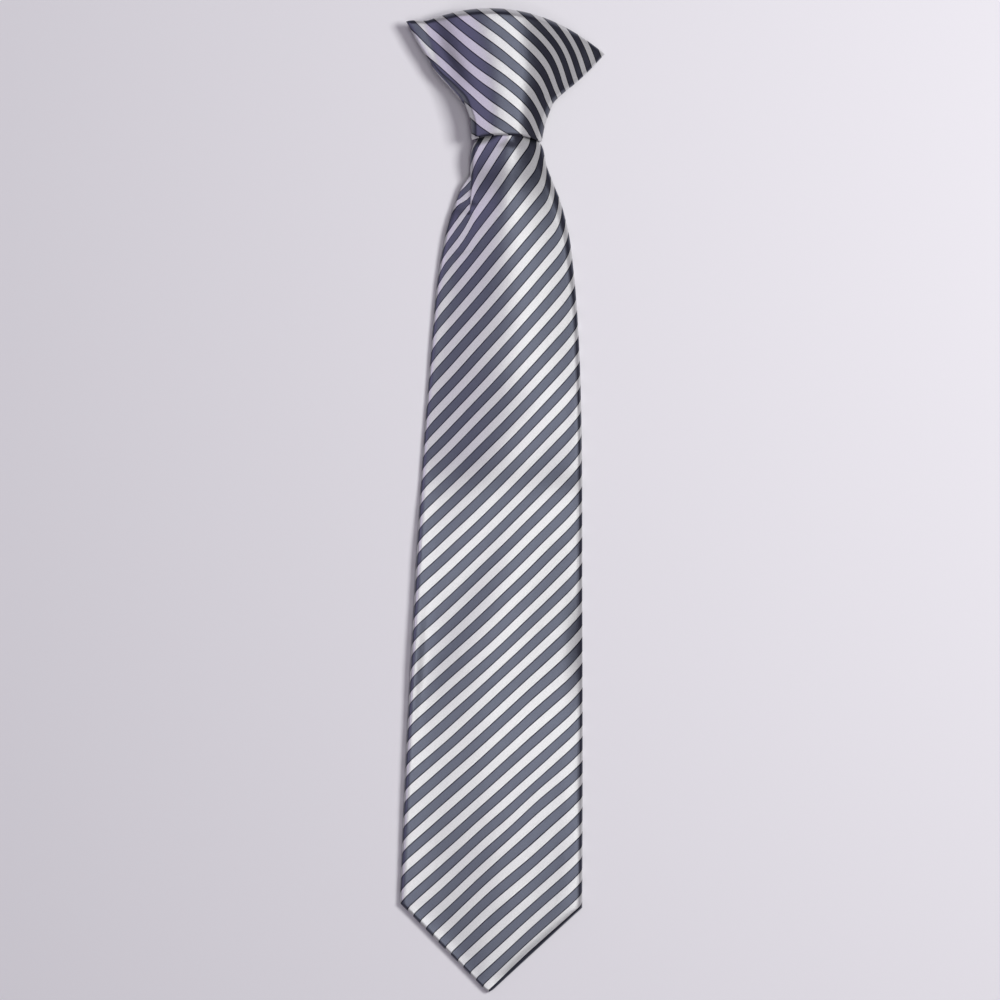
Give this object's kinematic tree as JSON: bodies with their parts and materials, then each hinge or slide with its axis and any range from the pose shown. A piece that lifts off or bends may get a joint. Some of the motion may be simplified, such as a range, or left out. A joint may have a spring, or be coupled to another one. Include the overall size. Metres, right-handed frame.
{
  "type": "clip-on tie",
  "caption": "Ready-made necktie with a pointed folded blade, a flared knot and a bent metal clip behind it, lying flat.",
  "frame": {"origin": "middle of the bounding box's underside, on the surface that the tie lies on", "axes": "+Y along the blade towards the knot, +X to the right seen from the front, +Z out of the tie's front"},
  "size_m": [0.092, 0.4582, 0.0207],
  "materials": {
    "cloth": "striped satin",
    "metal": "polished nickel"
  },
  "bodies": {
    "root": {"blade": "cloth", "knot": "cloth", "clip": "metal"}
  },
  "joints": []
}
